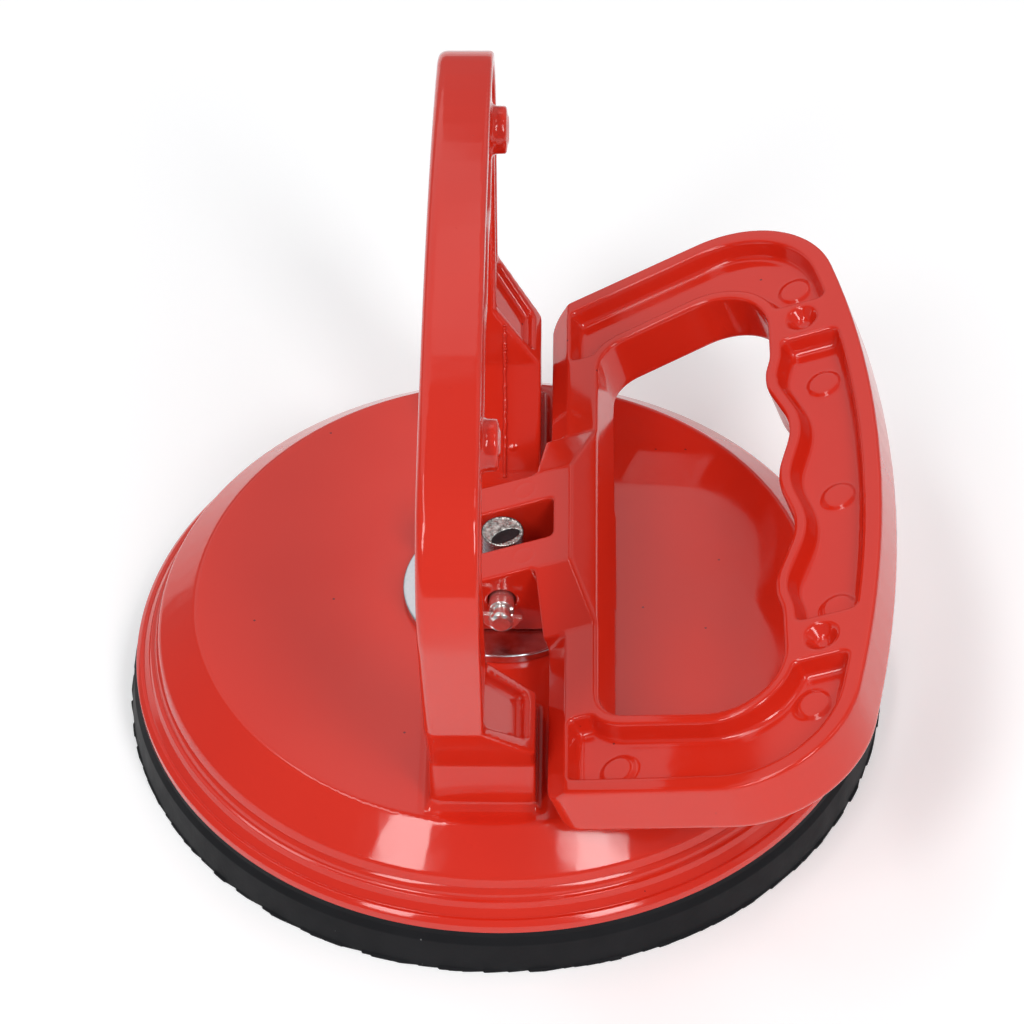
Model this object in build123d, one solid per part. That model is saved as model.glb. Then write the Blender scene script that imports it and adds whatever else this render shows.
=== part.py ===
from build123d import *
import os
from math import cos, radians, sin, tan

# Hand-operated vacuum lifter. The origin is the centre of the pad's lip, on the plane that it
# rests on. +Z is up, +X points to the free end of the opened lever, and the fixed handle stands
# in the YZ plane. Millimetres.

# Rubber pad
LIP_RADIUS = 59.0
SHOULDER_RADIUS = 58.2
SHOULDER_Z = 6.0
LIP_WIDTH = 9.0
SUCTION_RECESS = 0.8
PAD_FLOOR_Z = 5.0
PAD_SEAT_INNER = 47.5
PAD_SEAT_OUTER = 57.4
PAD_SEAT_SLOPE = 2.5
LIP_EDGE_Z = 0.6

# Base plate
RIM_RADIUS = 57.5
RIM_Z = 7.5
RIM_SIDE_Z = 8.3
BEAD = ((56.3, 9.3), (56.8, 9.1))
LEDGE = ((54.9, 11.2), (55.3, 10.2))
WALL_FOOT_RADIUS = 54.4
WALL_FOOT_Z = 11.4
CONE_FOOT_RADIUS = 53.6
CONE_FOOT_Z = 14.8
PLATE_TOP_Z = 20.0
PLATE_TOP_RADIUS = 47.5
PLATE_TOP_EDGE = 1.0
PLATE_WALL = 4.0
STUD_BORE = 7.6

# Draw mechanism
WASHER_RADIUS = 15.5
WASHER_THICKNESS = 1.5
STUD_DIAMETER = 6.4
STUD_TOP_Z = 33.0
STUD_FOOT_DIAMETER = 11.0
STUD_FOOT_Z = 3.4
DISC_RADIUS = 22.0
DISC_THICKNESS = 1.5
COLLAR_DIAMETER = 13.0
COLLAR_HEIGHT = 3.0
COLLAR_CHAMFER = 0.6
DISC_CHAMFER = 0.4
STUD_CHAMFER = 0.3
WASHER_EDGE = 0.5
PIVOT_Z = 28.0
PIN_DIAMETER = 3.8
PIN_HOLE = 4.3
PIN_FRONT = -15.0
PIN_GROOVE = (-13.9, -12.2)
PIN_GROOVE_DIAMETER = 2.6
PIN_HEAD_DIAMETER = 6.4
PIN_HEAD_THICKNESS = 1.6
PIN_HEAD_EDGE = 0.6
PIN_END_CHAMFER = 0.25
PIN_HEAD_GAP = 0.3
CLIP_RADIUS = 2.9
CLIP_THICKNESS = 0.7
CLIP_OPENING = 175.0

# Lever, in its own frame: u along the lever from the pivot, w out of its face
LEVER_ANGLE = 20.0
LEVER_SWING = 67.5
STROKE = 5.6
FACE_W = 1.2
BACK_W = -8.05
HINGE_U = 7.1
BAR_U = 60.2
BAR_BOW_RADIUS = 187.0
SIDE_AT_10 = 52.6
SIDE_SLOPE = 0.2625
OUTER_CORNER_RADIUS = 18.0
ROOT_CORNER_RADIUS = 4.0
OPENING_U = 15.7
OPENING_SIDE_AT_20 = 40.3
OPENING_SLOPE = 0.277
GRIP_U = 44.0
GRIP_CORNERS = ((44.0, 27.0, 9.0), (42.6, 22.0, 9.5), (47.1, 10.8, 11.0), (43.9, 0.0, 13.0))
OPENING_CORNER_RADIUS = 9.5
OPENING_ROOT_RADIUS = 5.5
HUB_W = 5.2
HUB_HALF_WIDTH = 10.1
HUB_BLEND_HALF_WIDTH = 21.0
HUB_TOP_U = 13.0
CAM_TAIL_LEAN = 0.9
SLOT_WIDTH = 8.1
SLOT_END_U = 10.0
HINGE_CHAMFER_U = 3.7
HINGE_CHAMFER_W = 2.65
RIM_LAND = 2.7
OPENING_LAND = 1.8
ROOT_LAND_U = 11.0
POCKET_DEPTH = 3.0
POCKET_DRAFT = 20.0
PEG_LAND = (30.2, 37.9)
PEG_LAND_U = 35.7
HUB_LAND_U = 20.0
HUB_LAND_HALF_WIDTH = 38.6
POCKET_CORNER_RADIUS = 1.2
PEG_U = 49.5
PEG_Y = 34.2
PEG_DIAMETER = 7.2
NIB_DIAMETER = 4.0
NIB_HEIGHT = 0.3
DIMPLE_DIAMETER = 5.2
DIMPLE_FLOOR_DIAMETER = 2.2
DIMPLE_DEPTH = 1.9
BACK_EDGE = 1.3
EJECTOR_DIAMETER = 4.6
EJECTOR_HEIGHT = 0.4
EJECTORS = ((51.7, 21.0), (52.8, -4.2), (51.6, -27.0), (48.0, 44.0), (47.1, -44.5), (17.9, -48.2))

# Fixed handle
HANDLE_FRONT_X = -1.5
HANDLE_BACK_X = -10.0
FOOT_HALF_WIDTH = 44.4
FOOT_INNER_HALF_WIDTH = 24.4
FOOT_CREASE_Z = 29.3
FOOT_KNEE_Z = 43.6
HANDLE_INSET = 0.7
GUSSET_X = 5.5
GUSSET_LOW_Z = 35.1
GUSSET_HIGH_Z = 44.0
GUSSET_LAND = 2.0
GUSSET_POCKET_DEPTH = 1.5
PEG_X = 0.8
FOOT_SKIRT = 1.1
FOOT_SKIRT_LAP = 0.02
FOOT_SKIRT_SINK = 0.3

# Derived
CAM_PITCH = STROKE / radians(LEVER_SWING)
CAM_CLEARANCE = 0.1
CAM_HEIGHT = PIVOT_Z - PLATE_TOP_Z - WASHER_THICKNESS - CAM_CLEARANCE
CLOSED_PIVOT_Z = PIVOT_Z + STROKE
POCKET_FLOOR_W = FACE_W - POCKET_DEPTH
HUB_LAND_END = HUB_BLEND_HALF_WIDTH + 0.2
POCKET_FLOOR_X = HANDLE_FRONT_X - POCKET_DEPTH
REACH = 200.0
SINK = 1.0
CORNER_SOLVER_STEPS = 20
CAM_POINTS = 6


def lever_side(u):
    """Half width of the lever's outline at u."""
    return SIDE_AT_10 + SIDE_SLOPE * (u - 10.0)


def opening_side(u):
    """Half width of the lever's opening at u."""
    return OPENING_SIDE_AT_20 + OPENING_SLOPE * (u - 20.0)


def outer_corner():
    """Where the straight side meets the bowed bar, before the corner is rounded."""
    u = BAR_U - 10.0
    for _ in range(CORNER_SOLVER_STEPS):
        u = BAR_U - lever_side(u) ** 2 / (2.0 * BAR_BOW_RADIUS)
    return u, lever_side(u)


def outline_face(*side):
    """Outer outline of the loop handle: its side runs through the points (u, half width)."""
    u, half = outer_corner()
    upper = Polyline(*side, (u, half))
    lower = Polyline(*[(point_u, -y) for point_u, y in side], (u, -half))
    root = Line((side[0][0], side[0][1]), (side[0][0], -side[0][1]))
    face = make_face([upper, lower, root, ThreePointArc((u, half), (BAR_U, 0), (u, -half))])
    return fillet(face.vertices().group_by(Axis.X)[-1], OUTER_CORNER_RADIUS)


def lever_outline():
    """The lever's own outline, with sharp corners at the hinge side."""
    return outline_face((HINGE_U, lever_side(HINGE_U)))


def opening_face(root_u, *foot):
    """The hand opening: straight sides and a grip with four finger hollows.

    Below root_u its sides run through the points (u, half width) of foot.
    """
    half = opening_side(root_u)
    corner = (GRIP_U, opening_side(GRIP_U), OPENING_CORNER_RADIUS)
    upper = [corner, *GRIP_CORNERS]
    lower = [(u, -y, radius) for u, y, radius in reversed(upper[:-1])]
    corners = upper + lower
    points = [(root_u, half), *[(u, y) for u, y, _ in corners], (root_u, -half)]
    path = FilletPolyline(*points, radius=[radius for _, _, radius in corners])
    foot_low = [(u, -y) for u, y in foot]
    root = Polyline(points[-1], *foot_low, *reversed(foot), points[0])
    return make_face([path, root])


def rectangle(low, high):
    """An axis-aligned rectangle from its two corners."""
    centre = ((low[0] + high[0]) / 2, (low[1] + high[1]) / 2)
    return Pos(*centre) * Rectangle(high[0] - low[0], high[1] - low[1])


def pocket_faces(outline, opening):
    """The sunk fields between the rim land, the opening's land and the peg lands."""
    inset = POCKET_CORNER_RADIUS
    field = offset(outline, -RIM_LAND - inset) - offset(opening, OPENING_LAND + inset)
    field -= rectangle((-REACH, -REACH), (ROOT_LAND_U + inset, REACH))
    half = HUB_LAND_HALF_WIDTH + inset
    field -= rectangle((-REACH, -half), (HUB_LAND_U, half))
    for side in (-1, 1):
        near = side * (PEG_LAND[0] - inset)
        far = side * (PEG_LAND[1] + inset)
        field -= rectangle((PEG_LAND_U, min(near, far)), (REACH, max(near, far)))
    return [offset(face, inset) for face in field.faces()]


def drafted_pocket(mouth, outward=1):
    """What is cut below a pocket's mouth, with drafted walls, and the clearance above it."""
    sunk = extrude(mouth, amount=-outward * POCKET_DEPTH, taper=POCKET_DRAFT)
    return sunk + extrude(mouth, amount=outward * SINK)


def cam_point(angle):
    """Point of the cam that bears on the washer when the lever has turned by angle."""
    turned = radians(LEVER_ANGLE + angle)
    height = CAM_HEIGHT + CAM_PITCH * radians(angle)
    u = -height * sin(turned) - CAM_PITCH * cos(turned)
    w = -height * cos(turned) + CAM_PITCH * sin(turned)
    return u, w


def prong_profile():
    """Side view of the fork: the cam, its flat underside at rest and the hub's top."""
    first = cam_point(0)
    last = cam_point(LEVER_SWING)
    run = (first[1] - BACK_W) / tan(radians(LEVER_ANGLE))
    heel = (first[0] + run, BACK_W)
    steps = CAM_POINTS - 1
    cam = Spline(*[cam_point(LEVER_SWING * i / steps) for i in range(CAM_POINTS)])
    tail_top = (last[0] + CAM_TAIL_LEAN, HUB_W)
    edges = [
        cam,
        Line(last, tail_top),
        Line(tail_top, (HUB_TOP_U, HUB_W)),
        Line((HUB_TOP_U, HUB_W), (OPENING_U, FACE_W)),
        Line((OPENING_U, FACE_W), (OPENING_U, BACK_W)),
        Line((OPENING_U, BACK_W), heel),
        Line(heel, first),
    ]
    return make_face(edges)


def lever_plan_to_space():
    """Placement of the lever's own frame at rest."""
    return Pos(0, 0, PIVOT_Z) * Rot(0, -LEVER_ANGLE, 0)


def cylinder_between(start, end, diameter):
    """A cylinder whose axis runs from start to end."""
    axis = Vector(*end) - Vector(*start)
    plane = Plane(origin=start, z_dir=axis)
    return extrude(plane * Circle(diameter / 2), amount=axis.length)


def across(y):
    """Plane of the lever's side views at y: its own u and w axes, facing -Y."""
    return Plane(origin=(0, y, 0), x_dir=(1, 0, 0), z_dir=(0, -1, 0))


def loop_ring(outline, opening):
    """The flat loop, with its back edges rounded for the hand."""
    ring = extrude(Pos(0, 0, BACK_W) * (outline - opening), amount=FACE_W - BACK_W)
    return fillet(ring.edges().group_by(Axis.Z)[0], BACK_EDGE)


def hub_rise():
    """The raised middle of the root bar, sloping down to the face on both sides and in front."""
    section = Polyline(
        (-HUB_BLEND_HALF_WIDTH, FACE_W),
        (-HUB_HALF_WIDTH, HUB_W),
        (HUB_HALF_WIDTH, HUB_W),
        (HUB_BLEND_HALF_WIDTH, FACE_W),
        (HUB_BLEND_HALF_WIDTH, FACE_W - SINK),
        (-HUB_BLEND_HALF_WIDTH, FACE_W - SINK),
        close=True,
    )
    plane = Plane(origin=(HINGE_U, 0, 0), x_dir=(0, 1, 0), z_dir=(1, 0, 0))
    rise = extrude(plane * make_face(section), amount=OPENING_U - HINGE_U)
    slope = Polyline(
        (HUB_TOP_U, HUB_W + SINK),
        (HUB_TOP_U, HUB_W),
        (OPENING_U, FACE_W),
        (OPENING_U + HUB_W, HUB_W + SINK),
        close=True,
    )
    cut = extrude(across(HUB_LAND_END) * make_face(slope), amount=2 * HUB_LAND_END)
    return rise - cut


def hinge_chamfers():
    """What is planed off the root bar's hinge edge, beside the hub."""
    section = Polyline(
        (HINGE_U - SINK, FACE_W + SINK),
        (HINGE_U + HINGE_CHAMFER_U, FACE_W + SINK),
        (HINGE_U + HINGE_CHAMFER_U, FACE_W),
        (HINGE_U, FACE_W - HINGE_CHAMFER_W),
        (HINGE_U - SINK, FACE_W - HINGE_CHAMFER_W),
        close=True,
    )
    width = LIP_RADIUS
    low = extrude(across(-HUB_LAND_END) * make_face(section), amount=width)
    high = extrude(across(HUB_LAND_END + width) * make_face(section), amount=width)
    return low + high


def dimple(u, y):
    """A countersunk dimple in the lever's face, which takes the nib of a peg."""
    depth = DIMPLE_DEPTH + SINK
    rim = DIMPLE_DIAMETER / 2
    spread = (rim - DIMPLE_FLOOR_DIAMETER / 2) / DIMPLE_DEPTH
    cone = Cone(DIMPLE_FLOOR_DIAMETER / 2, rim + spread * SINK, depth)
    return Pos(u, y, FACE_W - DIMPLE_DEPTH + depth / 2) * cone


def lever_handle():
    outline = lever_outline()
    outline = fillet(outline.vertices().group_by(Axis.X)[0], ROOT_CORNER_RADIUS)
    opening = opening_face(OPENING_U)
    opening = fillet(opening.vertices().group_by(Axis.X)[0], OPENING_ROOT_RADIUS)
    prongs = extrude(across(HUB_HALF_WIDTH) * prong_profile(), amount=2 * HUB_HALF_WIDTH)
    body = loop_ring(outline, opening) + hub_rise() + prongs

    body -= Pos(SLOT_END_U - REACH / 2, 0, 0) * Box(REACH, SLOT_WIDTH, REACH)
    body -= cylinder_between((0, -HUB_LAND_END, 0), (0, HUB_LAND_END, 0), PIN_HOLE)
    for face in pocket_faces(outline, opening):
        body -= drafted_pocket(Pos(0, 0, FACE_W) * face)
    for u, y in EJECTORS:
        low = (u, y, POCKET_FLOOR_W - SINK)
        body += cylinder_between(low, (u, y, POCKET_FLOOR_W + EJECTOR_HEIGHT), EJECTOR_DIAMETER)
    for side in (-1, 1):
        body -= dimple(PEG_U, side * PEG_Y)
    return lever_plan_to_space() * (body - hinge_chamfers())


def handle_plan_to_space(x):
    """Placement of the fixed handle's plan: u up from the closed pivot, y across, at x."""
    return Plane(origin=(x, 0, CLOSED_PIVOT_Z), x_dir=(0, 0, 1), z_dir=(-1, 0, 0))


def leg_faces():
    """Plan of the bar and the two legs down to inside the plate, and the arch between them."""
    root_u = PLATE_TOP_Z - PLATE_WALL - CLOSED_PIVOT_Z
    crease_u = FOOT_CREASE_Z - CLOSED_PIVOT_Z
    knee_u = FOOT_KNEE_Z - CLOSED_PIVOT_Z
    foot_half = FOOT_HALF_WIDTH + HANDLE_INSET
    side = [(root_u, foot_half), (crease_u, foot_half), (knee_u, lever_side(knee_u))]
    arch_u = GUSSET_LOW_Z - CLOSED_PIVOT_Z
    flare = (opening_side(arch_u) - FOOT_INNER_HALF_WIDTH) / (GUSSET_LOW_Z - PLATE_TOP_Z)
    inner_half = FOOT_INNER_HALF_WIDTH - flare * PLATE_WALL
    return offset(outline_face(*side), -HANDLE_INSET), opening_face(arch_u, (root_u, inner_half))


def handle_feet(leg_plan):
    """The two feet: the legs grown forward to the gussets, with slanted tops."""
    side = Polyline(
        (POCKET_FLOOR_X, PLATE_TOP_Z - PLATE_WALL),
        (GUSSET_X, PLATE_TOP_Z - PLATE_WALL),
        (GUSSET_X, GUSSET_LOW_Z),
        (HANDLE_FRONT_X, GUSSET_HIGH_Z),
        (POCKET_FLOOR_X, GUSSET_HIGH_Z),
        close=True,
    )
    wedge = extrude(across(REACH / 2) * make_face(side), amount=REACH)
    block = extrude(handle_plan_to_space(GUSSET_X) * leg_plan, amount=GUSSET_X - HANDLE_BACK_X)
    return wedge & block


def leg_half_width(z):
    """Outer half width of the flared part of the legs at height z."""
    knee_half = lever_side(FOOT_KNEE_Z - CLOSED_PIVOT_Z) - HANDLE_INSET
    flare = (knee_half - FOOT_HALF_WIDTH) / (FOOT_KNEE_Z - FOOT_CREASE_Z)
    return FOOT_HALF_WIDTH + flare * (z - FOOT_CREASE_Z)


def gusset_pocket(side):
    """A shallow sunk field in the slanted top of one gusset."""
    run = GUSSET_X - HANDLE_FRONT_X
    drop = GUSSET_HIGH_Z - GUSSET_LOW_Z
    length = (run**2 + drop**2) ** 0.5
    plane = Plane(
        origin=(HANDLE_FRONT_X, 0, GUSSET_HIGH_Z),
        x_dir=(run, 0, -drop),
        z_dir=(drop, 0, run),
    )
    inner_top = opening_side(GUSSET_HIGH_Z - CLOSED_PIVOT_Z) + GUSSET_LAND
    inner_low = opening_side(GUSSET_LOW_Z - CLOSED_PIVOT_Z) + GUSSET_LAND
    outer_top = leg_half_width(GUSSET_HIGH_Z) - GUSSET_LAND
    outer_low = leg_half_width(GUSSET_LOW_Z) - GUSSET_LAND
    field = Polyline(
        (0, side * inner_top),
        (length - GUSSET_LAND, side * inner_low),
        (length - GUSSET_LAND, side * outer_low),
        (0, side * outer_top),
        close=True,
    )
    return extrude(plane * make_face(field), amount=GUSSET_POCKET_DEPTH, both=True)


def foot_skirts(leg_plan):
    """The sloped fillets where the two feet run out on the plate."""
    x_length = GUSSET_X - HANDLE_BACK_X
    box = Box(x_length, 2 * FOOT_HALF_WIDTH, FOOT_SKIRT)
    centre = ((GUSSET_X + HANDLE_BACK_X) / 2, 0, PLATE_TOP_Z + FOOT_SKIRT / 2)
    feet = extrude(handle_plan_to_space(GUSSET_X) * leg_plan, amount=x_length) & (Pos(*centre) * box)
    skirts = []
    for foot in feet.solids():
        ends = foot.faces().sort_by(Axis.Z)
        low = Pos(0, 0, -FOOT_SKIRT_SINK) * offset(level_face(ends[0]), FOOT_SKIRT)
        high = offset(level_face(ends[-1]), FOOT_SKIRT_LAP)
        skirts.append(loft([low, high]))
    return skirts


def level_face(face):
    """The same level face, turned to look up."""
    return make_face(face.outer_wire().edges())


def peg(side):
    """A stop peg on the handle's front, with a low nib in the middle of its end."""
    y = side * PEG_Y
    z = CLOSED_PIVOT_Z + PEG_U
    post = cylinder_between((POCKET_FLOOR_X, y, z), (PEG_X, y, z), PEG_DIAMETER)
    nib = cylinder_between((POCKET_FLOOR_X, y, z), (PEG_X + NIB_HEIGHT, y, z), NIB_DIAMETER)
    return post + nib


def fixed_handle():
    """The upright handle with its feet, gussets and the two pegs that stop the lever."""
    outline, opening = leg_faces()
    plan = outline - opening
    thickness = HANDLE_FRONT_X - HANDLE_BACK_X
    plate = extrude(handle_plan_to_space(HANDLE_FRONT_X) * plan, amount=thickness)
    back = plate.edges().group_by(Axis.X)[0].filter_by(lambda e: e.center().Z > PLATE_TOP_Z - SINK)
    handle = fillet(back, BACK_EDGE) + handle_feet(plan)
    for face in pocket_faces(lever_outline(), opening_face(0.0)):
        handle -= drafted_pocket(handle_plan_to_space(HANDLE_FRONT_X) * face, -1)
    for side in (-1, 1):
        handle -= gusset_pocket(side)
        handle += peg(side)
    return handle


def plate_profile():
    """Half section of the dished plate: flat top, cone, short wall, ledge and beaded rim."""
    cone = Vector(CONE_FOOT_RADIUS - PLATE_TOP_RADIUS, CONE_FOOT_Z - PLATE_TOP_Z).normalized()
    ceiling = PLATE_TOP_Z - PLATE_WALL
    inner_radius = CONE_FOOT_RADIUS - PLATE_WALL
    on_inner_cone = (PLATE_TOP_RADIUS + PLATE_WALL * cone.Y, PLATE_TOP_Z - PLATE_WALL * cone.X)
    shoulder_z = on_inner_cone[1] + (inner_radius - on_inner_cone[0]) * cone.Y / cone.X
    ceiling_radius = on_inner_cone[0] + (ceiling - on_inner_cone[1]) * cone.X / cone.Y
    edges = Polyline(
        (0, PLATE_TOP_Z),
        (PLATE_TOP_RADIUS, PLATE_TOP_Z),
        (CONE_FOOT_RADIUS, CONE_FOOT_Z),
        (WALL_FOOT_RADIUS, WALL_FOOT_Z),
        *LEDGE,
        *BEAD,
        (RIM_RADIUS, RIM_SIDE_Z),
        (RIM_RADIUS, RIM_Z),
        (inner_radius, RIM_Z),
        (inner_radius, shoulder_z),
        (ceiling_radius, ceiling),
        (0, ceiling),
        close=True,
    )
    return Plane.XZ * make_face(edges)


def base_casting():
    plate = revolve(plate_profile(), Axis.Z)
    top_edge = plate.edges().filter_by(GeomType.CIRCLE).group_by(Axis.Z)[-1]
    plate = fillet(top_edge, PLATE_TOP_EDGE)
    casting = plate + fixed_handle()
    outline, opening = leg_faces()
    for skirt in foot_skirts(outline - opening):
        casting += skirt
    bore_top = (0, 0, PLATE_TOP_Z + SINK)
    return casting - cylinder_between((0, 0, RIM_Z), bore_top, STUD_BORE)


def rubber_pad():
    section = Polyline(
        (0, SUCTION_RECESS),
        (LIP_RADIUS - LIP_WIDTH - SUCTION_RECESS, SUCTION_RECESS),
        (LIP_RADIUS - LIP_WIDTH, 0),
        (LIP_RADIUS, 0),
        (LIP_RADIUS, LIP_EDGE_Z),
        (SHOULDER_RADIUS, SHOULDER_Z),
        (PAD_SEAT_OUTER, RIM_Z),
        (PAD_SEAT_INNER, RIM_Z),
        (PAD_SEAT_INNER - PAD_SEAT_SLOPE, PAD_FLOOR_Z),
        (STUD_FOOT_DIAMETER / 2, PAD_FLOOR_Z),
        (STUD_FOOT_DIAMETER / 2, STUD_FOOT_Z),
        (0, STUD_FOOT_Z),
        close=True,
    )
    return revolve(Plane.XZ * make_face(section), Axis.Z)


def backing_disc():
    plan = Circle(DISC_RADIUS) - Circle(STUD_DIAMETER / 2)
    disc = extrude(Pos(0, 0, PAD_FLOOR_Z) * plan, amount=DISC_THICKNESS)
    rim = disc.edges().group_by(Axis.Z)[-1].sort_by(SortBy.RADIUS)[-1]
    return chamfer(rim, DISC_CHAMFER)


def stud_collar():
    plan = Circle(COLLAR_DIAMETER / 2) - Circle(STUD_DIAMETER / 2)
    collar = extrude(Pos(0, 0, PAD_FLOOR_Z + DISC_THICKNESS) * plan, amount=COLLAR_HEIGHT)
    rim = collar.edges().group_by(Axis.Z)[-1].sort_by(SortBy.RADIUS)[-1]
    return chamfer(rim, COLLAR_CHAMFER)


def draw_stud():
    foot = cylinder_between((0, 0, STUD_FOOT_Z), (0, 0, PAD_FLOOR_Z), STUD_FOOT_DIAMETER)
    shank = cylinder_between((0, 0, STUD_FOOT_Z), (0, 0, STUD_TOP_Z), STUD_DIAMETER)
    shank = chamfer(shank.edges().sort_by(Axis.Z)[-1], STUD_CHAMFER)
    half = STUD_FOOT_DIAMETER
    hole = cylinder_between((0, -half, PIVOT_Z), (0, half, PIVOT_Z), PIN_DIAMETER)
    return foot + shank - hole


def cam_washer():
    plan = Circle(WASHER_RADIUS) - Circle(STUD_BORE / 2)
    washer = extrude(Pos(0, 0, PLATE_TOP_Z) * plan, amount=WASHER_THICKNESS)
    rim = washer.edges().group_by(Axis.Z)[-1].sort_by(SortBy.RADIUS)[-1]
    return fillet(rim, WASHER_EDGE)


def pivot_pin():
    head_y = HUB_HALF_WIDTH + PIN_HEAD_GAP
    shank = cylinder_between((0, PIN_FRONT, PIVOT_Z), (0, head_y, PIVOT_Z), PIN_DIAMETER)
    shank = chamfer(shank.edges().sort_by(Axis.Y)[0], PIN_END_CHAMFER)
    head_end = head_y + PIN_HEAD_THICKNESS
    head = cylinder_between((0, head_y, PIVOT_Z), (0, head_end, PIVOT_Z), PIN_HEAD_DIAMETER)
    head = fillet(head.edges().filter_by(GeomType.CIRCLE).sort_by(Axis.Y)[-1], PIN_HEAD_EDGE)
    ring_start = (0, PIN_GROOVE[0], PIVOT_Z)
    ring_end = (0, PIN_GROOVE[1], PIVOT_Z)
    groove = cylinder_between(ring_start, ring_end, PIN_DIAMETER + 1)
    groove -= cylinder_between(ring_start, ring_end, PIN_GROOVE_DIAMETER)
    return shank + head - groove


def retaining_clip():
    """An open spring ring in the pin's groove, its mouth turned up."""
    ring = Circle(CLIP_RADIUS) - Circle(PIN_GROOVE_DIAMETER / 2)
    half = radians(CLIP_OPENING / 2)
    reach = 2 * CLIP_RADIUS
    edge = (reach * sin(half), reach * cos(half))
    mouth = Polyline((0, 0), edge, (0, 2 * reach), (-edge[0], edge[1]), close=True)
    plan = ring - make_face(mouth)
    middle = (PIN_GROOVE[0] + PIN_GROOVE[1]) / 2
    placed = Pos(0, 0, PIVOT_Z) * (across(middle + CLIP_THICKNESS / 2) * plan)
    return extrude(placed, amount=CLIP_THICKNESS)


PARTS = {
    "base_casting": base_casting,
    "lever_handle": lever_handle,
    "rubber_pad": rubber_pad,
    "backing_disc": backing_disc,
    "stud_collar": stud_collar,
    "draw_stud": draw_stud,
    "cam_washer": cam_washer,
    "pivot_pin": pivot_pin,
    "retaining_clip": retaining_clip,
}

os.makedirs("parts", exist_ok=True)
for name, build in PARTS.items():
    export_step(build(), f"parts/{name}.step")
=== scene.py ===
from math import cos, exp, pi, radians, sin, tau

import bpy
import numpy as np
import openvdb
from mathutils import Euler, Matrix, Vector, noise

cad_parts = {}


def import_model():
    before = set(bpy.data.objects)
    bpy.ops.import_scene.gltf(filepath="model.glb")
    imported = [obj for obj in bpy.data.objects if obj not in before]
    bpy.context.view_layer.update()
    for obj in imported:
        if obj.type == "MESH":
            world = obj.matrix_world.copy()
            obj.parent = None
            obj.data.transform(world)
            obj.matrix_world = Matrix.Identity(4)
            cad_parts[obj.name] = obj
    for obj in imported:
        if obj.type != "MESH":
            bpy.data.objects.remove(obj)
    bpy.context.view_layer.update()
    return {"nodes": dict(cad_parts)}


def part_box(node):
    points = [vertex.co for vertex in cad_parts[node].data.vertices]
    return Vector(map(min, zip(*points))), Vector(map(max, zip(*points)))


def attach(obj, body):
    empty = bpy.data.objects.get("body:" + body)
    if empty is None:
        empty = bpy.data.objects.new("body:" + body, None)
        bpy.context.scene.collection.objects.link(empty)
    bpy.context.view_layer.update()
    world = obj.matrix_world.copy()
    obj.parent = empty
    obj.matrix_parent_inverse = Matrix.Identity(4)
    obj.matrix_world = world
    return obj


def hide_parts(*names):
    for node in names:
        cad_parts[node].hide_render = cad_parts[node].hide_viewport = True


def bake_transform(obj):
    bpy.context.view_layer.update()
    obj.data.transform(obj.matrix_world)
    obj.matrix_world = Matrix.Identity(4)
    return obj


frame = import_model()

MM = 0.001
NODES = frame["nodes"]
SEED = 7


def box_mm(node):
    """Lowest and highest corner of a CAD node, in millimetres."""
    low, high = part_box(node)
    return low / MM, high / MM


PAD_LOW, PAD_HIGH = box_mm("rubber_pad")
WASHER_LOW, WASHER_HIGH = box_mm("cam_washer")
STUD_LOW, STUD_HIGH = box_mm("draw_stud")
PIN_LOW, PIN_HIGH = box_mm("pivot_pin")
CLIP_LOW, CLIP_HIGH = box_mm("retaining_clip")
PIVOT_Z = (PIN_LOW.z + PIN_HIGH.z) / 2


# ---------------------------------------------------------------- meshes

def mesh_object(name, points, faces, smooth=True):
    """A mesh object from points in millimetres and a list or array of faces."""
    mesh = bpy.data.meshes.new(name)
    mesh.from_pydata((np.asarray(points) * MM).tolist(), [], [list(map(int, f)) for f in faces])
    mesh.validate()
    mesh.update()
    if smooth:
        mesh.shade_smooth()
    obj = bpy.data.objects.new(name, mesh)
    bpy.context.scene.collection.objects.link(obj)
    return obj


def quad_mesh_object(name, points, quads):
    """The same for a large all-quad mesh, without Python lists."""
    mesh = bpy.data.meshes.new(name)
    mesh.vertices.add(len(points))
    mesh.vertices.foreach_set("co", (points * MM).astype(np.float32).ravel())
    mesh.loops.add(quads.size)
    mesh.loops.foreach_set("vertex_index", quads.astype(np.int32).ravel())
    mesh.polygons.add(len(quads))
    mesh.polygons.foreach_set("loop_start", np.arange(0, quads.size, 4, dtype=np.int32))
    mesh.update(calc_edges=True)
    mesh.shade_smooth()
    obj = bpy.data.objects.new(name, mesh)
    bpy.context.scene.collection.objects.link(obj)
    return obj


def apply_modifiers(obj):
    """Bakes the object's modifiers into its mesh."""
    graph = bpy.context.evaluated_depsgraph_get()
    mesh = bpy.data.meshes.new_from_object(obj.evaluated_get(graph), depsgraph=graph)
    obj.modifiers.clear()
    old = obj.data
    obj.data = mesh
    bpy.data.meshes.remove(old)
    mesh.name = obj.name


def weight_normals(obj):
    """Keeps flat faces flat in the shading next to small rounded edges."""
    modifier = obj.modifiers.new("flat_faces", "WEIGHTED_NORMAL")
    modifier.weight = 80
    modifier.keep_sharp = True


def rounded_profile(corners, steps=5):
    """Points of a half section: each corner is (radius, height, fillet)."""
    points = []
    count = len(corners)
    for i, (radius, height, fillet) in enumerate(corners):
        here = Vector((radius, height))
        if fillet == 0 or i in (0, count - 1):
            points.append(here)
            continue
        before = (Vector(corners[i - 1][:2]) - here).normalized()
        after = (Vector(corners[i + 1][:2]) - here).normalized()
        half = before.angle(after) / 2
        reach = fillet / np.tan(half)
        start = here + before * reach
        end = here + after * reach
        centre = here + (before + after).normalized() * fillet / sin(half)
        for k in range(steps + 1):
            share = k / steps
            spoke = (start - centre).lerp(end - centre, share).normalized()
            points.append(centre + spoke * fillet)
    return points


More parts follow.
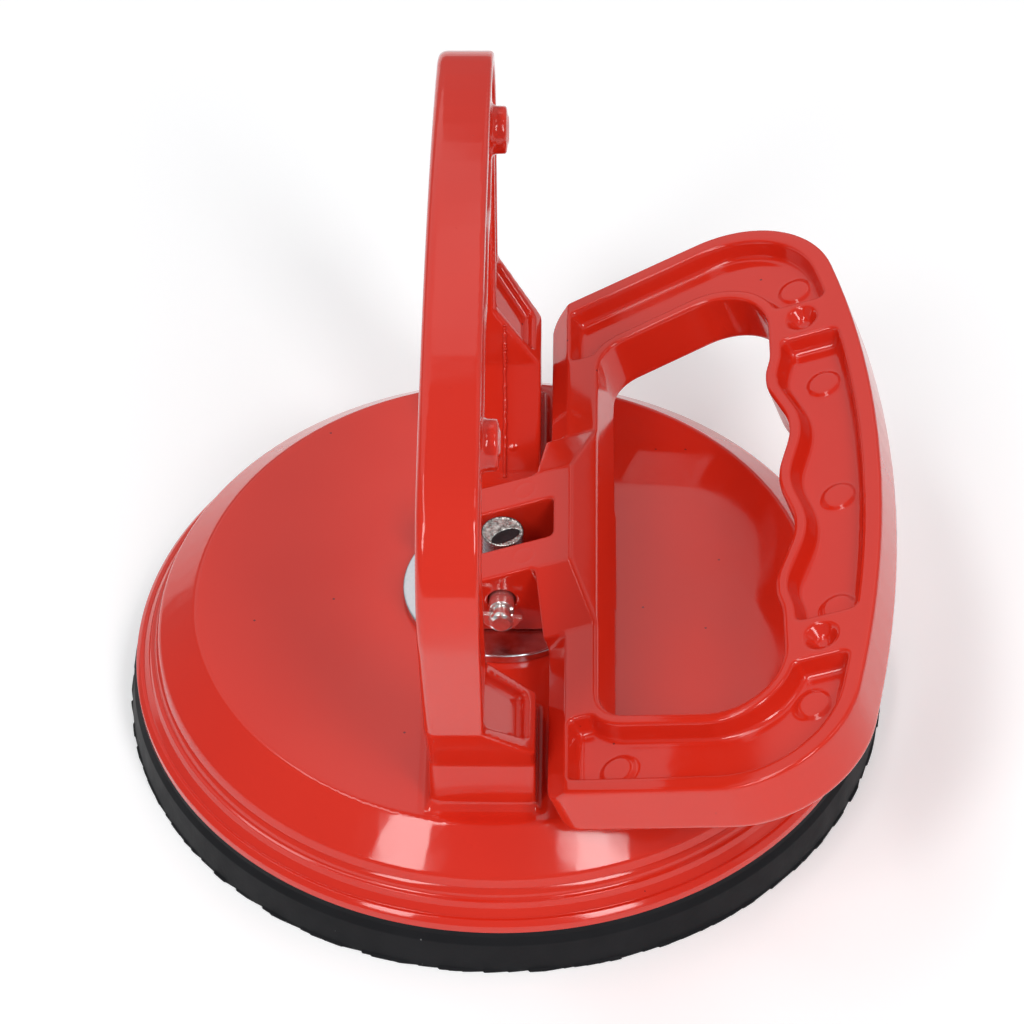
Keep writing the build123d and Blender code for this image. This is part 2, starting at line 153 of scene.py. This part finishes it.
def lathe(name, profile, segments=96, axis="Z", centre=(0, 0, 0)):
    """Turns a half section of (radius, height) points round an axis."""
    points = []
    rings = []
    for radius, height in profile:
        if radius < 1e-6:
            rings.append([len(points)])
            points.append((0.0, 0.0, height))
            continue
        rings.append(list(range(len(points), len(points) + segments)))
        for k in range(segments):
            turn = tau * k / segments
            points.append((radius * cos(turn), radius * sin(turn), height))
    faces = []
    for low, high in zip(rings, rings[1:]):
        for k in range(segments):
            n = (k + 1) % segments
            if len(low) == 1:
                faces.append((low[0], high[n], high[k]))
            elif len(high) == 1:
                faces.append((low[k], low[n], high[0]))
            else:
                faces.append((low[k], low[n], high[n], high[k]))
    points = np.array(points)
    if axis == "Y":
        points = points[:, [0, 2, 1]] * (1, 1, -1)
    obj = mesh_object(name, points + np.array(centre), faces)
    return obj


# ---------------------------------------------------------------- enamelled castings

BASE_VOXEL = 0.27
BASE_TRIANGLES = 195_000
LEVER_VOXEL = 0.23
LEVER_TRIANGLES = 190_000
INNER_RADIUS = 0.4
OUTER_RADIUS = 0.2
LEVER_TILT = radians(20)
RIM_SEGMENTS = 1080
FLASH_STEPS = 110
FLASH_SIDES = 12


def node_soup(node):
    """A CAD node's points in millimetres and its triangles."""
    mesh = NODES[node].data
    mesh.calc_loop_triangles()
    points = np.empty(len(mesh.vertices) * 3, np.float32)
    mesh.vertices.foreach_get("co", points)
    triangles = np.empty(len(mesh.loop_triangles) * 3, np.int32)
    mesh.loop_triangles.foreach_get("vertices", triangles)
    return points.reshape(-1, 3) / MM, triangles.reshape(-1, 3)


def tilted(points, angle):
    """The points turned about the Y axis, +X rising."""
    x, y, z = points.T
    return np.stack([x * cos(angle) - z * sin(angle), y, x * sin(angle) + z * cos(angle)], axis=1)


def moved_surface(points, faces, distance, voxel):
    """The surface at a distance outside (or, below zero, inside) a closed one."""
    width = abs(distance) / voxel + 3
    kind = "triangles" if faces.shape[1] == 3 else "quads"
    grid = openvdb.FloatGrid.createLevelSetFromPolygons(
        points.astype(np.float32),
        transform=openvdb.createLinearTransform(voxelSize=voxel),
        halfWidth=width,
        **{kind: faces},
    )
    points, _, quads = grid.convertToPolygons(isovalue=distance, adaptivity=0.0)
    return points, quads


def swell(points, line, toward, height, width):
    """Raises the surface along a line of points, in place."""
    line = np.array(line, np.float32)
    near = np.all((points > line.min(0) - 3 * width) & (points < line.max(0) + 3 * width), axis=1)
    index = np.flatnonzero(near)
    gap = np.linalg.norm(points[index, None] - line[None], axis=2).min(axis=1)
    lift = height * np.exp(-((gap / width) ** 2))
    points[index] += lift[:, None] * np.array(toward, np.float32)


def enamelled(name, node, voxel, faces_kept, details=(), tilt=0.0):
    """A casting under a coat of enamel: every corner and edge of the CAD solid is rounded.

    It is rounded in a frame tilted like the casting, so that its flat faces stay flat.
    """
    points, faces = node_soup(node)
    points = tilted(points, -tilt)
    for distance in (INNER_RADIUS, -INNER_RADIUS - OUTER_RADIUS, OUTER_RADIUS):
        points, faces = moved_surface(points, faces, distance, voxel)
    points = tilted(points, tilt)
    for detail in details:
        swell(points, *detail)
    corners = points[faces]
    volume = np.einsum("ij,ij->i", corners[:, 0], np.cross(corners[:, 1], corners[:, 2])).sum()
    if volume < 0:
        faces = faces[:, ::-1]
    obj = quad_mesh_object(name, points, faces)
    smooth = obj.modifiers.new("smooth", "SMOOTH")
    smooth.factor = 0.5
    smooth.iterations = 3
    thin = obj.modifiers.new("thin", "DECIMATE")
    thin.ratio = faces_kept / (2 * len(faces))
    apply_modifiers(obj)
    weight_normals(obj)
    return obj


def lever_point(u, y, w):
    """A point in the lever's own frame (along it, across it, out of its face), in millimetres."""
    x = u * cos(LEVER_TILT) - w * sin(LEVER_TILT)
    z = u * sin(LEVER_TILT) + w * cos(LEVER_TILT)
    return x, y, PIVOT_Z + z


def parting_flash(name, corners):
    """The wavy bead that the die left on the rear leg's inner face: it grows along the corners."""
    path = []
    for start, end in zip(corners, corners[1:]):
        for i in range(FLASH_STEPS):
            path.append(Vector(start).lerp(Vector(end), i / FLASH_STEPS))
    last = len(path) - 1
    points = []
    faces = [list(range(FLASH_SIDES))[::-1]]
    for i, centre in enumerate(path):
        axis = (path[min(i + 1, last)] - path[max(i - 1, 0)]).normalized()
        first = axis.cross(Vector((1, 0, 0))).normalized()
        second = axis.cross(first)
        share = i / last
        radius = 0.22 + 0.10 * share + 0.16 * noise.noise(Vector((i * 0.23, 0.4, 0)))
        wave = 0.10 * noise.noise(Vector((i * 0.11, 5.3, 0)))
        for k in range(FLASH_SIDES):
            spoke = cos(tau * k / FLASH_SIDES) * first + sin(tau * k / FLASH_SIDES) * second
            points.append(centre + Vector((wave, 0, 0)) + spoke * radius)
    for i in range(last):
        for k in range(FLASH_SIDES):
            n = (k + 1) % FLASH_SIDES
            low, high = i * FLASH_SIDES, (i + 1) * FLASH_SIDES
            faces.append((low + k, low + n, high + n, high + k))
    faces.append([last * FLASH_SIDES + k for k in range(FLASH_SIDES)])
    return mesh_object(name, points, faces)


def ring_line(centre, radius, place, steps=48):
    """A circle of points in the plane that place(a, b) spans."""
    turns = [tau * k / steps for k in range(steps)]
    return [place(centre[0] + radius * cos(t), centre[1] + radius * sin(t)) for t in turns]


def edge_grains(radius, z, first, last, count, seed):
    """Single points scattered along an arc of the plate's edge, between two angles in degrees."""
    rng = np.random.default_rng(seed)
    points = []
    for turn in rng.uniform(radians(first), radians(last), count):
        points.append((radius * cos(turn), radius * sin(turn), z))
    return points


# Each detail of a casting is a line of points, the way that it stands out, its height and width.
LEG_FACE = (0, -0.82, 0.57)
LEG_LUMP = [(1.0, 27.5, 24.2), (1.3, 27.7, 24.4)]
RIM_FACE = (0, -0.75, 0.66)
RIM_NICK = [(-1.9, -54.9 - 0.1 * k, 11.0 - 0.13 * k) for k in range(26)]
EDGE_FACE = (0, -0.5, 0.87)
EDGE_GRAINS = edge_grains(radius=47.4, z=19.9, first=-124, last=-96, count=26, seed=3)
BASE_DETAILS = [
    (LEG_LUMP, LEG_FACE, 0.3, 0.35),
    (RIM_NICK, RIM_FACE, 0.22, 0.16),
    (EDGE_GRAINS, EDGE_FACE, 0.12, 0.16),
]

# The ejector rings on top of the two prongs, in the lever's own frame
PRONG_FACE = (-sin(LEVER_TILT), 0, cos(LEVER_TILT))
PRONG_W = 5.2
PRONG_RINGS = [(5.4, -7.0), (5.4, 7.0)]
PRONG_RING_RADIUS = 1.6
LEVER_DETAILS = []
for centre in PRONG_RINGS:
    ring = ring_line(centre, PRONG_RING_RADIUS, lambda u, y: lever_point(u, y, PRONG_W))
    LEVER_DETAILS.append((ring, PRONG_FACE, -0.09, 0.2))

# Bead, groove, ledge and the foot of the plate's short wall: (radius, height, fillet)
RIM_SECTION = [
    (53.4, 7.5, 0),
    (57.54, 7.45, 0.1),
    (57.52, 8.75, 0.3),
    (56.80, 9.45, 0.2),
    (56.35, 9.36, 0.12),
    (56.15, 9.62, 0.12),
    (55.42, 10.45, 0.25),
    (55.05, 11.40, 0.15),
    (54.42, 11.55, 0.5),
    (53.98, 13.30, 0),
    (53.40, 13.20, 0),
    (53.40, 7.5, 0),
]
FLASH_PATH = [(-0.2, 36.95, 42.0), (-0.2, 34.8, 35.0), (-0.2, 24.5, 20.5)]

base = enamelled("base_enamel", "base_casting", BASE_VOXEL, BASE_TRIANGLES, BASE_DETAILS)
lever = enamelled(
    "lever_enamel", "lever_handle", LEVER_VOXEL, LEVER_TRIANGLES, LEVER_DETAILS, LEVER_TILT
)
rim = lathe("base_rim", rounded_profile(RIM_SECTION), RIM_SEGMENTS)
flash = parting_flash("base_flash", FLASH_PATH)
for obj in (rim, flash):
    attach(obj, "base")
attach(base, "base")
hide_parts("base_casting")
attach(lever, "lever")
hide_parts("lever_handle")


# ---------------------------------------------------------------- rubber pad

PAD_SEGMENTS = 1440
FLASH_LENGTHS = (1.2, 3.4)


def flash_profile(lip):
    """How far the flash stands out at each of PAD_SEGMENTS angles: a row of uneven cuts."""
    rng = np.random.default_rng(SEED)
    arcs = []
    while sum(arcs) < tau:
        arcs.append(rng.uniform(*FLASH_LENGTHS) / lip)
    edges = np.cumsum(arcs) * tau / sum(arcs)
    starts = rng.uniform(-0.12, 0.12, len(arcs))
    ends = starts + rng.uniform(-0.32, 0.10, len(arcs))
    turns = np.arange(PAD_SEGMENTS) * tau / PAD_SEGMENTS
    cut = np.minimum(np.searchsorted(edges, turns, side="right"), len(arcs) - 1)
    before = np.concatenate([[0.0], edges[:-1]])[cut]
    share = (turns - before) / (edges[cut] - before)
    return starts[cut] * (1 - share) + ends[cut] * share


def rubber_pad():
    """The turned section, then the flash at its lip trimmed by hand, cut by cut."""
    lip = PAD_HIGH.x
    top = PAD_HIGH.z
    section = rounded_profile([
        (0.0, 0.8, 0),
        (lip - 9.8, 0.8, 0.3),
        (lip - 9.0, 0.0, 0.3),
        (lip - 0.6, 0.0, 0),
        (lip - 0.02, 0.06, 0),
        (lip, 0.22, 0),
        (lip - 0.04, 0.40, 0),
        (lip - 0.24, 0.50, 0),
        (lip - 0.27, 0.62, 0),
        (lip - 0.30, 0.90, 0),
        (lip - 0.85, 5.3, 0.6),
        (lip - 1.55, 6.3, 0.5),
        (lip - 1.70, top, 0.25),
        (lip - 11.5, top, 0.4),
        (lip - 14.0, 5.0, 0.4),
        (5.5, 5.0, 0.3),
        (5.5, 3.4, 0),
        (0.0, 3.4, 0),
    ])
    obj = lathe("pad_rubber", section, PAD_SEGMENTS)
    points = np.empty(len(obj.data.vertices) * 3)
    obj.data.vertices.foreach_get("co", points)
    points = points.reshape(-1, 3) / MM
    radius = np.hypot(points[:, 0], points[:, 1])
    turn = np.arctan2(points[:, 1], points[:, 0]) % tau
    flash = flash_profile(lip)[np.round(turn / tau * PAD_SEGMENTS).astype(int) % PAD_SEGMENTS]
    share = (radius > lip - 0.1) * (points[:, 2] < 0.45)
    scale = 1 + share * flash / np.maximum(radius, 1)
    points[:, :2] *= scale[:, None]
    obj.data.vertices.foreach_set("co", (points * MM).ravel())
    obj.data.update()
    return obj


def lift_with_stud(pad):
    """Bakes the pad's placement into its mesh and reads its points in millimetres; nothing is
    moved.
    """
    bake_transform(pad)
    points = np.empty(len(pad.data.vertices) * 3)
    pad.data.vertices.foreach_get("co", points)
    points = points.reshape(-1, 3) / MM


pad = rubber_pad()
lift_with_stud(pad)
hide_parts("rubber_pad")


# ---------------------------------------------------------------- washer, stud, pin and clip

def cam_washer():
    radius = WASHER_HIGH.x
    bore = 3.8
    low, high = WASHER_LOW.z, WASHER_HIGH.z
    section = rounded_profile([
        (bore, high - 0.3, 0),
        (bore, high, 0.15),
        (radius, high, 0.35),
        (radius, low, 0.2),
        (bore, low, 0.15),
        (bore, high - 0.3, 0),
    ])
    return lathe("washer_steel", section[::-1], 180)


STUD_RADIUS = 3.2
TOP_RINGS = 48
TOP_SEGMENTS = 144
BREAK_CENTRE = (0.45, -0.85)
BREAK_TURN = radians(33)
BREAK_LENGTH = 2.45
BREAK_WIDTH = 1.2


def draw_stud():
    """The turned shank and its foot."""
    low = STUD_LOW.z
    section = rounded_profile([
        (0.0, low, 0),
        (5.5, low, 0.2),
        (5.5, low + 1.6, 0.2),
        (STUD_RADIUS, low + 1.6, 0.2),
        (STUD_RADIUS, STUD_HIGH.z - 0.15, 0),
    ])
    return lathe("stud_shank", section, TOP_SEGMENTS)


def broken_field(x, y):
    """1 inside the dark crescent where the sawn end broke off, 0 outside, soft at its rim."""
    dx, dy = x - BREAK_CENTRE[0], y - BREAK_CENTRE[1]
    along = dx * cos(BREAK_TURN) + dy * sin(BREAK_TURN)
    across = dy * cos(BREAK_TURN) - dx * sin(BREAK_TURN)
    across += 0.10 * (along / BREAK_LENGTH) ** 2
    gap = (along / BREAK_LENGTH) ** 2 + (across / BREAK_WIDTH) ** 2
    return 1 / (1 + exp((gap - 1) * 16))


def sawn_top():
    """The rough sawn end, with a burr round it and the smooth crescent in it."""
    top = STUD_HIGH.z
    points = []
    faces = []
    for ring in range(TOP_RINGS + 1):
        r = STUD_RADIUS * ring / TOP_RINGS
        for k in range(TOP_SEGMENTS):
            turn = tau * k / TOP_SEGMENTS
            x, y = r * cos(turn), r * sin(turn)
            place = Vector((x, y, 0))
            rough = 0.10 * noise.noise(place * 1.7) + 0.07 * noise.noise(place * 5.3)
            rough += 0.05 * noise.noise(place * 11)
            field = broken_field(x, y)
            burr = exp(-(((r - STUD_RADIUS + 0.22) / 0.14) ** 2))
            burr *= 0.10 + 0.12 * noise.noise(place * 3)
            drop = 0.22 * max(0.0, (r - STUD_RADIUS + 0.12) / 0.12)
            z = top - 0.22 + rough * (1 - 0.9 * field) - 0.18 * field + burr - drop
            points.append((x, y, min(z, top + 0.1)))
    for ring in range(TOP_RINGS):
        for k in range(TOP_SEGMENTS):
            n = (k + 1) % TOP_SEGMENTS
            low, high = ring * TOP_SEGMENTS, (ring + 1) * TOP_SEGMENTS
            faces.append((low + k, high + k, high + n, low + n))
    return mesh_object("stud_top", points, faces)


def pivot_pin():
    front = PIN_LOW.y
    head = PIN_HIGH.y
    section = rounded_profile([
        (0.0, front, 0),
        (1.35, front, 0.1),
        (1.8, front + 0.3, 0.15),
        (1.8, front + 1.0, 0.15),
        (1.3, front + 1.25, 0.12),
        (1.3, front + 2.75, 0.12),
        (1.9, front + 2.85, 0.18),
        (1.9, head - 1.6, 0),
        (3.2, head - 1.6, 0.2),
        (3.2, head, 0.6),
        (0.0, head, 0),
    ])
    return lathe("pin_nickel", section, 96, axis="Y", centre=(0, 0, PIVOT_Z))


def retaining_clip():
    """Half a spring ring with three inner lugs and two ears, tilted a little on the pin."""
    thickness = CLIP_HIGH.y - CLIP_LOW.y
    outer = 2.9
    inner = 2.0
    lug = 1.3
    opening = radians(175)
    steps = 90
    outline_outer = []
    outline_inner = []
    for i in range(steps + 1):
        turn = opening / 2 + (tau - opening) * i / steps
        from_end = min(turn, tau - turn) - opening / 2 - 0.1
        grip = exp(-((from_end / 0.16) ** 2)) + exp(-(((turn - pi) / 0.16) ** 2))
        ear = outer + 0.3 * exp(-((from_end / 0.12) ** 2))
        outline_outer.append((ear * sin(turn), ear * cos(turn)))
        radius = inner - (inner - lug) * min(1.0, grip)
        outline_inner.append((radius * sin(turn), radius * cos(turn)))
    outline = outline_outer + outline_inner[::-1]
    count = len(outline)
    points = [(x, y, z) for y in (-thickness / 2, thickness / 2) for x, z in outline]
    faces = []
    half = steps + 1
    for i in range(steps):
        j = count - 1 - i
        faces.append((i, i + 1, j - 1, j))
        faces.append((i + count, j + count, j - 1 + count, i + 1 + count))
    for i in range(count):
        n = (i + 1) % count
        faces.append((i, i + count, n + count, n))
    middle = (CLIP_LOW.y + CLIP_HIGH.y) / 2
    obj = mesh_object("clip_steel", points, faces)
    bevel = obj.modifiers.new("edge", "BEVEL")
    bevel.width = 0.15 * MM
    bevel.segments = 3
    bevel.limit_method = "ANGLE"
    obj.rotation_euler = Euler((0, radians(8), 0))
    obj.location = Vector((0, middle, PIVOT_Z)) * MM
    return obj


washer = cam_washer()
stud = draw_stud()
top = sawn_top()
pin = pivot_pin()
clip = retaining_clip()
for obj in (washer, stud, pin, clip):
    weight_normals(obj)

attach(washer, "base")
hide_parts("cam_washer")
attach(stud, "draw")
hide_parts("draw_stud")
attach(top, "draw")
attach(pin, "draw")
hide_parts("pivot_pin")
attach(clip, "draw")
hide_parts("retaining_clip")


# ---------------------------------------------------------------- materials

class Nodes:
    """A small helper over a material's node tree."""

    def __init__(self, name):
        self.material = bpy.data.materials.new(name)
        self.material.use_nodes = True
        self.tree = self.material.node_tree
        self.shader = self.tree.nodes["Principled BSDF"]
        self.coordinates = self.tree.nodes.new("ShaderNodeTexCoord").outputs["Object"]

    def link(self, output, socket):
        self.tree.links.new(output, socket)

    def noise(self, scale, detail=3.0, roughness=0.5, stretch=None):
        node = self.tree.nodes.new("ShaderNodeTexNoise")
        node.inputs["Scale"].default_value = scale
        node.inputs["Detail"].default_value = detail
        node.inputs["Roughness"].default_value = roughness
        source = self.coordinates
        if stretch is not None:
            mapping = self.tree.nodes.new("ShaderNodeMapping")
            mapping.inputs["Scale"].default_value = stretch
            self.link(source, mapping.inputs["Vector"])
            source = mapping.outputs["Vector"]
        self.link(source, node.inputs["Vector"])
        return node.outputs["Fac"]

    def cells(self, scale):
        node = self.tree.nodes.new("ShaderNodeTexVoronoi")
        node.inputs["Scale"].default_value = scale
        self.link(self.coordinates, node.inputs["Vector"])
        return node

    def ramp(self, value, *stops):
        node = self.tree.nodes.new("ShaderNodeValToRGB")
        elements = node.color_ramp.elements
        while len(elements) < len(stops):
            elements.new(0.5)
        for element, (position, colour) in zip(elements, stops):
            element.position = position
            element.color = (*colour, 1) if len(colour) == 3 else colour
        self.link(value, node.inputs["Fac"])
        return node.outputs["Color"]

    def scale_range(self, value, low, high, out_low, out_high):
        node = self.tree.nodes.new("ShaderNodeMapRange")
        limits = {"From Min": low, "From Max": high, "To Min": out_low, "To Max": out_high}
        for socket, number in limits.items():
            node.inputs[socket].default_value = number
        self.link(value, node.inputs["Value"])
        return node.outputs["Result"]

    def maths(self, operation, a, b):
        node = self.tree.nodes.new("ShaderNodeMath")
        node.operation = operation
        for socket, value in zip(node.inputs, (a, b)):
            if isinstance(value, (int, float)):
                socket.default_value = value
            else:
                self.link(value, socket)
        return node.outputs["Value"]

    def mix(self, factor, a, b):
        node = self.tree.nodes.new("ShaderNodeMix")
        node.data_type = "RGBA"
        self.link(factor, node.inputs["Factor"])
        for socket, value in (("A", a), ("B", b)):
            target = next(s for s in node.inputs if s.name == socket and s.type == "RGBA")
            if isinstance(value, tuple):
                target.default_value = (*value, 1)
            else:
                self.link(value, target)
        return next(s for s in node.outputs if s.type == "RGBA")

    def bump(self, height, distance, strength=1.0, normal=None):
        node = self.tree.nodes.new("ShaderNodeBump")
        node.inputs["Strength"].default_value = strength
        node.inputs["Distance"].default_value = distance
        self.link(height, node.inputs["Height"])
        if normal is not None:
            self.link(normal, node.inputs["Normal"])
        return node.outputs["Normal"]

    def set(self, **values):
        for name, value in values.items():
            self.shader.inputs[name.replace("_", " ")].default_value = value

    def specks(self, scale, size, share):
        """1 in a few small round spots, 0 elsewhere."""
        cells = self.cells(scale)
        spot = self.maths("LESS_THAN", cells.outputs["Distance"], size)
        split = self.tree.nodes.new("ShaderNodeSeparateColor")
        self.link(cells.outputs["Color"], split.inputs["Color"])
        chosen = self.maths("LESS_THAN", split.outputs["Red"], share)
        return self.maths("MULTIPLY", spot, chosen)


def red_enamel():
    m = Nodes("red_enamel")
    tone = m.noise(28, 2.0)
    colour = m.ramp(tone, (0.3, (0.645, 0.022, 0.009)), (0.7, (0.685, 0.027, 0.011)))
    colour = m.mix(m.specks(420, 0.08, 0.03), colour, (0.16, 0.01, 0.01))
    m.link(colour, m.shader.inputs["Base Color"])
    gloss = m.scale_range(m.noise(60, 4.0), 0.35, 0.65, 0.07, 0.13)
    m.link(gloss, m.shader.inputs["Roughness"])
    peel = m.bump(m.noise(420, 1.5), 0.000008)
    dust = m.bump(m.specks(520, 0.10, 0.03), 0.00004, normal=peel)
    m.link(dust, m.shader.inputs["Normal"])
    m.set(IOR=1.5)
    return m.material


def black_rubber():
    m = Nodes("black_rubber")
    tone = m.noise(90, 4.0)
    colour = m.ramp(tone, (0.3, (0.0042, 0.0044, 0.0058)), (0.75, (0.0075, 0.0078, 0.0098)))
    colour = m.mix(m.specks(620, 0.10, 0.05), colour, (0.12, 0.12, 0.12))
    m.link(colour, m.shader.inputs["Base Color"])
    m.link(m.scale_range(m.noise(200, 4.0), 0.3, 0.7, 0.50, 0.62), m.shader.inputs["Roughness"])
    m.link(m.bump(m.noise(1500, 3.0), 0.00002), m.shader.inputs["Normal"])
    m.set(IOR=1.35, Specular_IOR_Level=0.35)
    return m.material


def metal(name, light, dark, roughness, grain, depth, stretch=None, metallic=1.0):
    """A bare or plated metal whose colour, roughness and relief follow one grain."""
    m = Nodes(name)
    value = m.noise(grain, 4.0, stretch=stretch)
    m.link(m.ramp(value, (0.3, dark), (0.7, light)), m.shader.inputs["Base Color"])
    m.link(m.scale_range(value, 0.3, 0.7, *roughness), m.shader.inputs["Roughness"])
    m.link(m.bump(value, depth), m.shader.inputs["Normal"])
    m.set(Metallic=metallic)
    return m.material


def give(material, *objects):
    for obj in objects:
        obj.data.materials.clear()
        obj.data.materials.append(material)


enamel = red_enamel()
rubber = black_rubber()
steel = metal(
    "polished_steel",
    light=(0.72, 0.73, 0.76),
    dark=(0.58, 0.59, 0.62),
    roughness=(0.14, 0.26),
    grain=900,
    depth=0.000004,
)
nickel = metal(
    "nickel_plate",
    light=(0.88, 0.87, 0.85),
    dark=(0.76, 0.75, 0.73),
    roughness=(0.16, 0.24),
    grain=1200,
    depth=0.000004,
    metallic=0.92,
)
sawn = metal(
    "sawn_steel",
    light=(0.88, 0.87, 0.83),
    dark=(0.18, 0.17, 0.16),
    roughness=(0.2, 0.45),
    grain=1400,
    depth=0.00005,
)
broken = metal(
    "broken_steel",
    light=(0.06, 0.05, 0.055),
    dark=(0.02, 0.02, 0.02),
    roughness=(0.25, 0.4),
    grain=700,
    depth=0.00001,
)
turned = metal(
    "turned_steel",
    light=(0.62, 0.62, 0.63),
    dark=(0.40, 0.40, 0.41),
    roughness=(0.22, 0.38),
    grain=500,
    depth=0.00001,
    stretch=(1, 1, 8),
)

give(enamel, base, lever, rim, flash)
give(rubber, pad)
give(steel, washer)
give(nickel, pin, clip)
give(sawn, top)
top.data.materials.append(broken)
for face in top.data.polygons:
    x, y, _ = face.center / MM
    face.material_index = int(broken_field(x, y) > 0.5)
give(turned, stud)
for node in ("backing_disc", "stud_collar"):
    obj = NODES[node]
    obj.data.materials.clear()
    obj.data.materials.append(turned)


# ---------------------------------------------------------------- studio

FLOOR_SIZE = 6.0
CAMERA_PLACE = (0.01251, -0.39611, 0.42450)
CAMERA_TURN = (0.79643, 0.01202, 0.01604)
LENS = 128.97


def floor():
    size = FLOOR_SIZE / 2 / MM
    points = [(-size, -size, 0), (size, -size, 0), (size, size, 0), (-size, size, 0)]
    obj = mesh_object("floor", points, [(0, 1, 2, 3)], smooth=False)
    m = Nodes("floor_white")
    tone = m.ramp(m.noise(2, 2.0), (0.0, (0.93, 0.93, 0.93)), (1.0, (0.95, 0.95, 0.95)))
    m.link(tone, m.shader.inputs["Base Color"])
    m.set(Roughness=0.9, Emission_Color=(1, 1, 1, 1), Emission_Strength=0.18)
    give(m.material, obj)
    return obj


def softbox(name, azimuth, elevation, distance, width, height, radiance, tint=(1, 1, 1)):
    """A rectangular soft light that faces the object. Azimuth 0 is the camera's side, 90 is +X."""
    data = bpy.data.lights.new(name, "AREA")
    data.shape = "RECTANGLE"
    data.size = width
    data.size_y = height
    data.color = tint
    data.energy = radiance * pi * width * height
    obj = bpy.data.objects.new(name, data)
    a, e = radians(azimuth), radians(elevation)
    direction = Vector((sin(a) * cos(e), -cos(a) * cos(e), sin(e)))
    obj.location = direction * distance + Vector((0, 0, 0.03))
    obj.rotation_mode = "QUATERNION"
    obj.rotation_quaternion = direction.to_track_quat("Z", "Y")
    bpy.context.scene.collection.objects.link(obj)
    return obj


def world():
    scene_world = bpy.data.worlds.new("studio")
    bpy.context.scene.world = scene_world
    scene_world.use_nodes = True
    tree = scene_world.node_tree
    tree.nodes["Background"].inputs["Color"].default_value = (0.95, 0.97, 1.0, 1)
    tree.nodes["Background"].inputs["Strength"].default_value = 0.31


def camera():
    data = bpy.data.cameras.new("camera")
    data.lens = LENS
    data.sensor_width = 36
    data.clip_start = 0.01
    obj = bpy.data.objects.new("camera", data)
    obj.location = CAMERA_PLACE
    obj.rotation_euler = Euler(CAMERA_TURN, "XYZ")
    bpy.context.scene.collection.objects.link(obj)
    bpy.context.scene.camera = obj


floor()
world()
camera()
softbox("front_left", -33, 47.5, 1.2, 0.23, 0.55, 8.6)
softbox("front_right", 30.5, 47, 1.2, 0.25, 0.55, 10.4)
softbox("left_high", -80, 68, 1.6, 1.3, 0.22, 4.5)
softbox("right_high", 75, 68, 1.6, 0.4, 0.4, 2.0)
softbox("right", 85, 28, 2.2, 1.2, 1.0, 0.4)
softbox("back_left", 150, 40, 2.2, 2.0, 1.8, 0.28)
softbox("back_right", -150, 40, 2.2, 2.0, 1.8, 0.56)
bpy.context.scene.view_settings.view_transform = "Standard"

bpy.context.view_layer.update()
